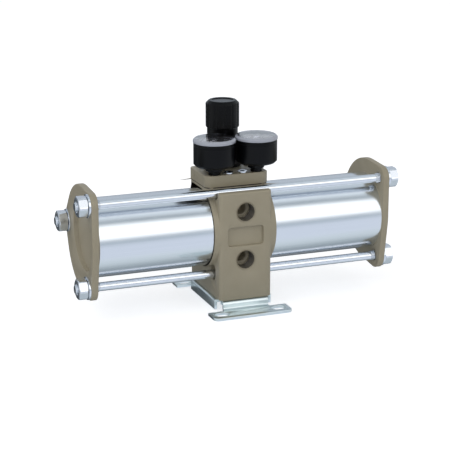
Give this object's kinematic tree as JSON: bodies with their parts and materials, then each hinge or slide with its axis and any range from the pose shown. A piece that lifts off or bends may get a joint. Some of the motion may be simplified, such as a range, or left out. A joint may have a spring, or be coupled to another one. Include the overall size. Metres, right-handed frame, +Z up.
{
  "type": "air pressure booster",
  "caption": "Double-acting air pressure booster: two tie-rod cylinders on a cast centre body with ports, regulator knob, gauges and foot bracket.",
  "frame": {"origin": "on the floor, at the middle of the object's footprint, which is the foot bracket's middle", "axes": "+Z up, +X along the two tubes, -Y towards the face with the two ports"},
  "size_m": [0.3, 0.118, 0.1772],
  "materials": {
    "cast_paint": "warm grey-brown paint on die-cast aluminium, satin",
    "tube_aluminium": "clear anodised aluminium tube, satin",
    "zinc_steel": "bright zinc-plated steel",
    "plain_steel": "ground or turned steel",
    "piston_aluminium": "turned aluminium",
    "seal_rubber": "black nitrile rubber",
    "guide_plastic": "filled plastic guide ring",
    "black_plastic": "black moulded plastic, fine satin",
    "knob_plastic": "black moulded plastic",
    "clear_plastic": "clear moulded gauge cover",
    "dial_black": "matt black dial plate",
    "pointer_white": "white pointer and scale",
    "brass": "turned brass"
  },
  "bodies": {
    "housing": {"adjusting_spring": "plain_steel", "bourdon_tubes": "brass", "bracket_screws": "zinc_steel", "centre_body": "cast_paint", "check_plugs": "plain_steel", "check_seats": "brass", "check_spring_lower_left": "plain_steel", "check_spring_lower_right": "plain_steel", "check_spring_upper_left": "plain_steel", "check_spring_upper_right": "plain_steel", "diaphragm": "seal_rubber", "foot_bracket": "zinc_steel", "left_cover": "cast_paint", "left_gauge_case": "black_plastic", "left_gauge_cover": "clear_plastic", "left_gauge_dial": "dial_black", "left_gauge_stem": "black_plastic", "left_tube": "tube_aluminium", "regulator_block": "cast_paint", "regulator_bonnet": "black_plastic", "regulator_gasket": "seal_rubber", "regulator_screws": "zinc_steel", "right_cover": "cast_paint", "right_gauge_case": "black_plastic", "right_gauge_cover": "clear_plastic", "right_gauge_dial": "dial_black", "right_gauge_stem": "black_plastic", "right_tube": "tube_aluminium", "rod_bush": "brass", "rod_seals": "seal_rubber", "spool_end_caps": "piston_aluminium", "spool_sleeve": "piston_aluminium", "tie_rod_lower": "zinc_steel", "tie_rod_nuts": "zinc_steel", "tie_rod_rear": "zinc_steel", "tie_rod_upper": "zinc_steel", "tie_rod_washers": "zinc_steel", "tube_seals": "seal_rubber", "valve_seat": "brass", "valve_spring": "plain_steel"},
    "piston_set": {"piston_rod": "plain_steel", "left_piston": "piston_aluminium", "right_piston": "piston_aluminium", "piston_seals": "seal_rubber", "piston_wear_rings": "guide_plastic", "piston_nuts": "plain_steel"},
    "changeover_spool": {"spool": "piston_aluminium", "push_rods": "plain_steel"},
    "regulator_valve": {"valve_poppet": "brass", "spring_plate": "plain_steel"},
    "spindle": {"adjusting_spindle": "plain_steel"},
    "nut_slider": {"spring_nut": "brass"},
    "knob_set": {"knob": "knob_plastic", "knob_cap": "knob_plastic"},
    "left_pointer": {"left_gauge_pointer": "pointer_white"},
    "right_pointer": {"right_gauge_pointer": "pointer_white"},
    "poppet_upper_left": {"check_poppet_upper_left": "brass"},
    "poppet_upper_right": {"check_poppet_upper_right": "brass"},
    "poppet_lower_left": {"check_poppet_lower_left": "brass"},
    "poppet_lower_right": {"check_poppet_lower_right": "brass"}
  },
  "joints": [
    {"name": "piston_stroke", "type": "slide", "parent": "housing", "child": "piston_set", "axis": [1, 0, 0], "range_m": [-0.033, 0.033]},
    {"name": "spool_shift", "type": "slide", "parent": "housing", "child": "changeover_spool", "axis": [1, 0, 0], "range_m": [-0.003, 0.003]},
    {"name": "regulator_valve_lift", "type": "slide", "parent": "housing", "child": "regulator_valve", "axis": [0, 0, -1], "range_m": [0, 0.001], "stiffness_N_per_m": 300, "springref_m": -0.002, "deforming": ["valve_spring", "diaphragm"]},
    {"name": "spindle_turn", "type": "hinge", "parent": "housing", "child": "spindle", "pos_m": [0, 0.02, 0.15], "axis": [0, 0, 1], "range_deg": [-1082, 1082]},
    {"name": "nut_travel", "type": "slide", "parent": "housing", "child": "nut_slider", "axis": [0, 0, 1], "range_m": [-0.003, 0.003], "deforming": ["adjusting_spring"]},
    {"name": "knob_pull", "type": "slide", "parent": "spindle", "child": "knob_set", "axis": [0, 0, 1], "range_m": [0, 0.003]},
    {"name": "check_lift_upper_left", "type": "slide", "parent": "housing", "child": "poppet_upper_left", "axis": [0, 0, 1], "range_m": [0, 0.0015], "stiffness_N_per_m": 100, "springref_m": -0.002, "deforming": ["check_spring_upper_left"]},
    {"name": "check_lift_upper_right", "type": "slide", "parent": "housing", "child": "poppet_upper_right", "axis": [0, 0, 1], "range_m": [0, 0.0015], "stiffness_N_per_m": 100, "springref_m": -0.002, "deforming": ["check_spring_upper_right"]},
    {"name": "check_lift_lower_left", "type": "slide", "parent": "housing", "child": "poppet_lower_left", "axis": [0, 0, -1], "range_m": [0, 0.0015], "stiffness_N_per_m": 100, "springref_m": -0.002, "deforming": ["check_spring_lower_left"]},
    {"name": "check_lift_lower_right", "type": "slide", "parent": "housing", "child": "poppet_lower_right", "axis": [0, 0, -1], "range_m": [0, 0.0015], "stiffness_N_per_m": 100, "springref_m": -0.002, "deforming": ["check_spring_lower_right"]},
    {"name": "left_pointer_turn", "type": "hinge", "parent": "housing", "child": "left_pointer", "pos_m": [-0.0197, -0.012, 0.1442], "axis": [0, 0, -1], "range_deg": [0, 270], "stiffness_Nm_per_rad": 0.00001, "springref_deg": -11.46},
    {"name": "right_pointer_turn", "type": "hinge", "parent": "housing", "child": "right_pointer", "pos_m": [0.0197, -0.012, 0.1442], "axis": [0, 0, -1], "range_deg": [0, 270], "stiffness_Nm_per_rad": 0.00001, "springref_deg": -11.46}
  ],
  "couplings": [
    {"joint": "spindle_turn", "follows": "nut_travel", "rad_per_m": 6283.2}
  ]
}
